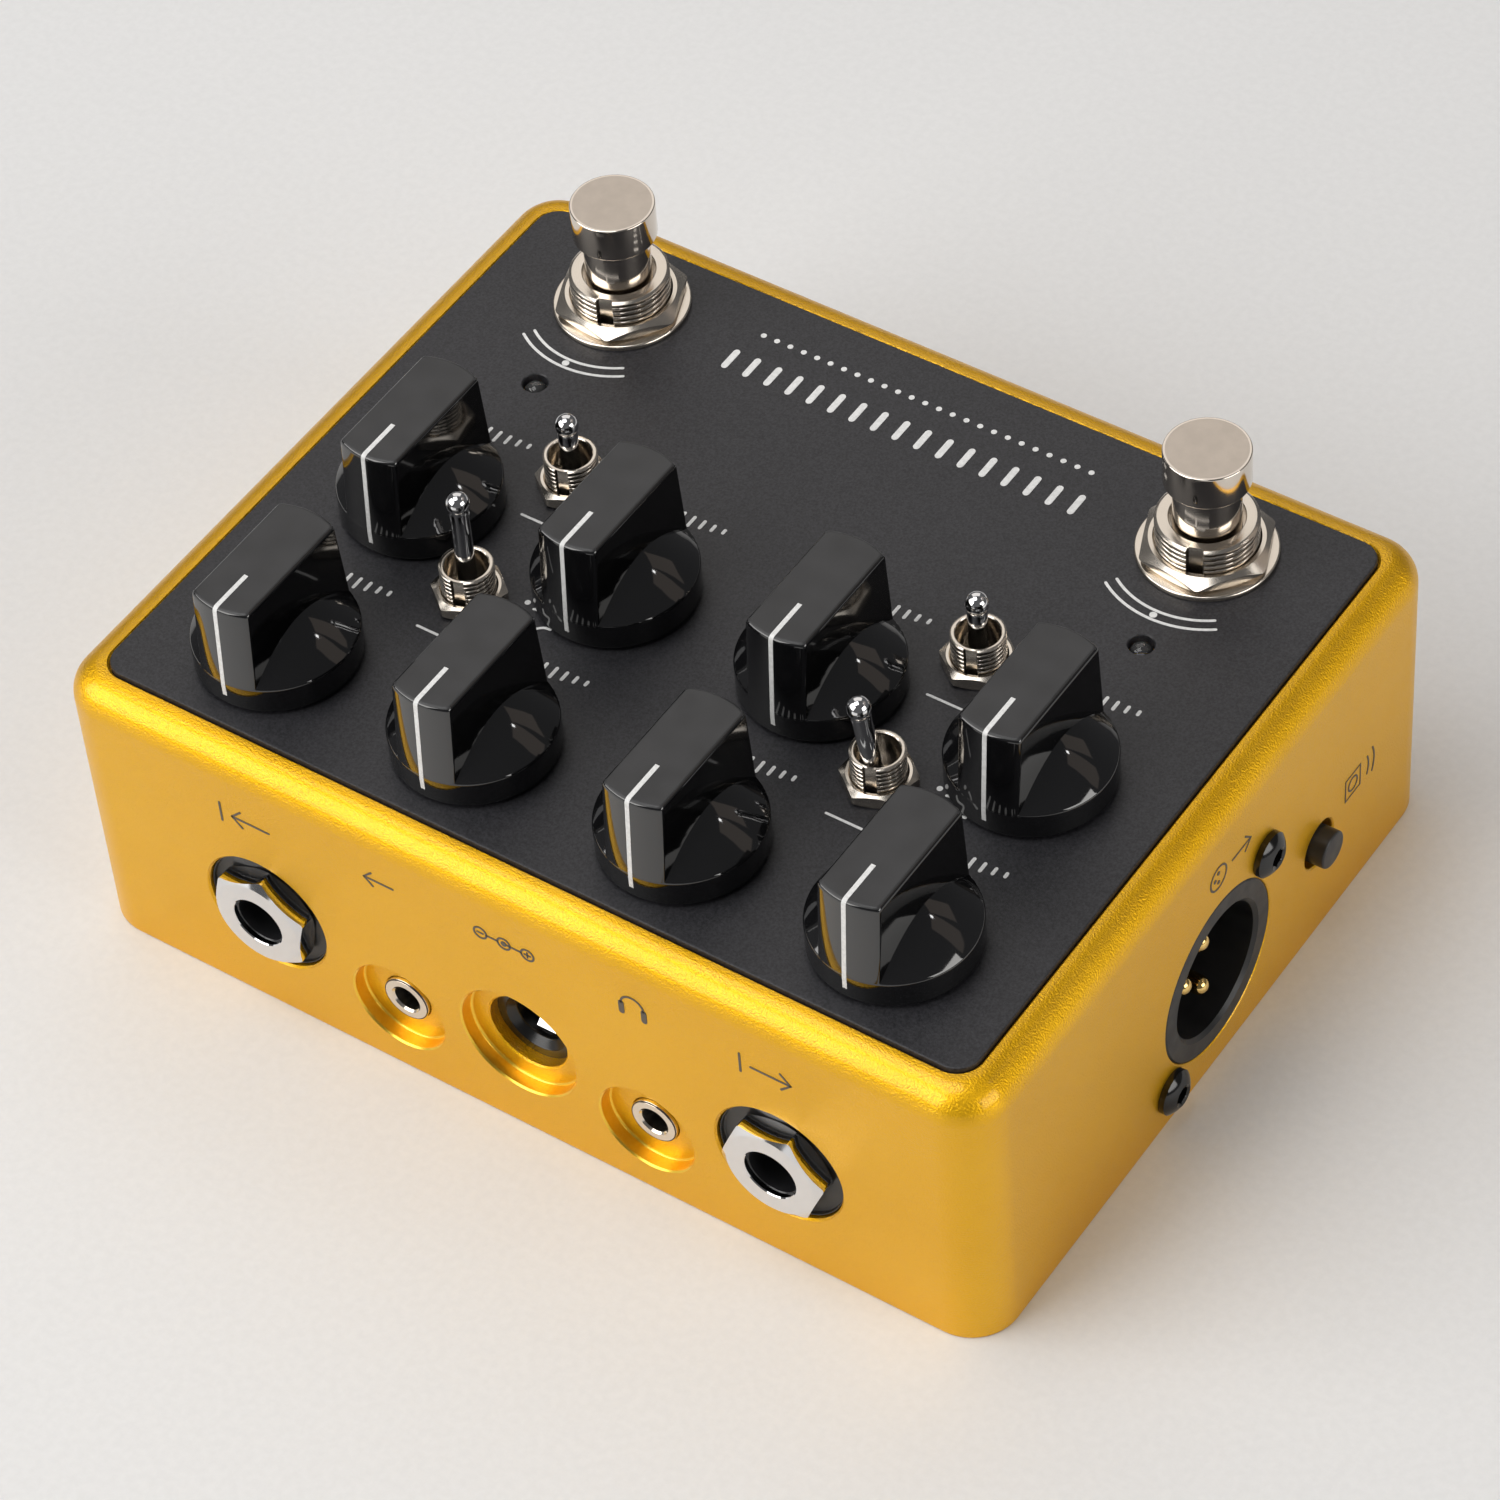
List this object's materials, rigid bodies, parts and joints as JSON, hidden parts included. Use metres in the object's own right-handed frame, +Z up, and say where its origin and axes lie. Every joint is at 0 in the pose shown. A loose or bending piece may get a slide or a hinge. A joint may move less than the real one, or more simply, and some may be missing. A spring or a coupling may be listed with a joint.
{
  "type": "bass preamp pedal with balanced direct output",
  "caption": "Stomp-box bass preamp and direct box: metal body, turning knobs, toggle levers, footswitches, jack sockets, power inlet and balanced output.",
  "frame": {"origin": "centre of the flat underside", "axes": "+Z up out of the control face; +Y towards the jack sockets; -X towards the balanced output; the footswitches are at -Y"},
  "size_m": [0.1269, 0.0998, 0.058],
  "materials": {
    "gold_anodised": "satin bead-blasted gold anodising",
    "plate_black": "satin black with a fine grain",
    "black_steel": "glossy black",
    "board_green": "solder mask",
    "brass_parts": "turned",
    "jack_black": "moulded",
    "collar_black": "moulded, satin",
    "switch_black": "moulded",
    "chrome_parts": "polished",
    "gold_contacts": "gold plated, polished",
    "nickel_parts": "polished nickel plate",
    "pot_steel": "plain",
    "spring_steel": "drawn wire",
    "led_clear": "clear lens",
    "knob_black": "glossy sides, satin top"
  },
  "bodies": {
    "chassis": {"enclosure": "gold_anodised", "top_plate": "plate_black", "base_plate": "plate_black", "base_screws": "black_steel", "control_board": "board_green", "io_board": "board_green", "board_spacers": "brass_parts", "board_header": "switch_black", "board_parts": "switch_black", "input_jack": "jack_black", "output_jack": "jack_black", "jack_collars": "collar_black", "jack_nuts": "chrome_parts", "aux_jack": "chrome_parts", "phones_jack": "chrome_parts", "dc_jack": "jack_black", "dc_pin": "chrome_parts", "xlr_housing": "collar_black", "xlr_contacts": "gold_contacts", "xlr_screws": "black_steel", "push_switch_housing": "switch_black", "pot_bodies": "pot_steel", "pot_nuts": "nickel_parts", "toggle_housings": "switch_black", "toggle_bushings": "nickel_parts", "toggle_nuts": "nickel_parts", "footswitch_housings": "switch_black", "footswitch_bushings": "nickel_parts", "footswitch_nuts": "nickel_parts", "footswitch_washers": "nickel_parts", "leds": "led_clear", "spring_bypass": "spring_steel", "spring_distortion": "spring_steel", "push_spring": "spring_steel"},
    "drive_control": {"knob_drive": "knob_black", "shaft_drive": "pot_steel"},
    "level_control": {"knob_level": "knob_black", "shaft_level": "pot_steel"},
    "blend_control": {"knob_blend": "knob_black", "shaft_blend": "pot_steel"},
    "master_control": {"knob_master": "knob_black", "shaft_master": "pot_steel"},
    "treble_control": {"knob_treble": "knob_black", "shaft_treble": "pot_steel"},
    "high_mids_control": {"knob_high_mids": "knob_black", "shaft_high_mids": "pot_steel"},
    "low_mids_control": {"knob_low_mids": "knob_black", "shaft_low_mids": "pot_steel"},
    "bass_control": {"knob_bass": "knob_black", "shaft_bass": "pot_steel"},
    "grunt_lever": {"lever_grunt": "chrome_parts"},
    "attack_lever": {"lever_attack": "chrome_parts"},
    "high_mid_frequency_lever": {"lever_high_mid_frequency": "chrome_parts"},
    "low_mid_frequency_lever": {"lever_low_mid_frequency": "chrome_parts"},
    "bypass_plunger": {"plunger_bypass": "nickel_parts"},
    "distortion_plunger": {"plunger_distortion": "nickel_parts"},
    "cab_button": {"push_button": "collar_black"}
  },
  "joints": [
    {"name": "drive_turn", "type": "hinge", "parent": "chassis", "child": "drive_control", "pos_m": [0.0416, 0.0326, 0.0414], "axis": [0, 0, 1], "range_deg": [-150, 150]},
    {"name": "level_turn", "type": "hinge", "parent": "chassis", "child": "level_control", "pos_m": [0.014, 0.0326, 0.0414], "axis": [0, 0, 1], "range_deg": [-150, 150]},
    {"name": "blend_turn", "type": "hinge", "parent": "chassis", "child": "blend_control", "pos_m": [-0.014, 0.0326, 0.0414], "axis": [0, 0, 1], "range_deg": [-150, 150]},
    {"name": "master_turn", "type": "hinge", "parent": "chassis", "child": "master_control", "pos_m": [-0.0416, 0.0326, 0.0414], "axis": [0, 0, 1], "range_deg": [-150, 150]},
    {"name": "treble_turn", "type": "hinge", "parent": "chassis", "child": "treble_control", "pos_m": [0.0416, 0.0049, 0.0414], "axis": [0, 0, 1], "range_deg": [-150, 150]},
    {"name": "high_mids_turn", "type": "hinge", "parent": "chassis", "child": "high_mids_control", "pos_m": [0.014, 0.0049, 0.0414], "axis": [0, 0, 1], "range_deg": [-150, 150]},
    {"name": "low_mids_turn", "type": "hinge", "parent": "chassis", "child": "low_mids_control", "pos_m": [-0.014, 0.0049, 0.0414], "axis": [0, 0, 1], "range_deg": [-150, 150]},
    {"name": "bass_turn", "type": "hinge", "parent": "chassis", "child": "bass_control", "pos_m": [-0.0416, 0.0049, 0.0414], "axis": [0, 0, 1], "range_deg": [-150, 150]},
    {"name": "grunt_tilt", "type": "hinge", "parent": "chassis", "child": "grunt_lever", "pos_m": [0.02785, 0.0145, 0.0392], "axis": [1, 0, 0], "range_deg": [-10, 10]},
    {"name": "attack_tilt", "type": "hinge", "parent": "chassis", "child": "attack_lever", "pos_m": [-0.02785, 0.0145, 0.0392], "axis": [1, 0, 0], "range_deg": [0, 20]},
    {"name": "high_mid_frequency_tilt", "type": "hinge", "parent": "chassis", "child": "high_mid_frequency_lever", "pos_m": [0.02785, -0.0061, 0.0392], "axis": [1, 0, 0], "range_deg": [-10, 10]},
    {"name": "low_mid_frequency_tilt", "type": "hinge", "parent": "chassis", "child": "low_mid_frequency_lever", "pos_m": [-0.02785, -0.0061, 0.0392], "axis": [1, 0, 0], "range_deg": [-10, 10]},
    {"name": "bypass_press", "type": "slide", "parent": "chassis", "child": "bypass_plunger", "axis": [0, 0, -1], "range_m": [0, 0.0028], "stiffness_N_per_m": 2000, "springref_m": -0.001, "deforming": ["spring_bypass"]},
    {"name": "distortion_press", "type": "slide", "parent": "chassis", "child": "distortion_plunger", "axis": [0, 0, -1], "range_m": [0, 0.0028], "stiffness_N_per_m": 2000, "springref_m": -0.001, "deforming": ["spring_distortion"]},
    {"name": "cab_press", "type": "slide", "parent": "chassis", "child": "cab_button", "axis": [1, 0, 0], "range_m": [0, 0.0014], "stiffness_N_per_m": 800, "springref_m": -0.001, "deforming": ["push_spring"]}
  ]
}
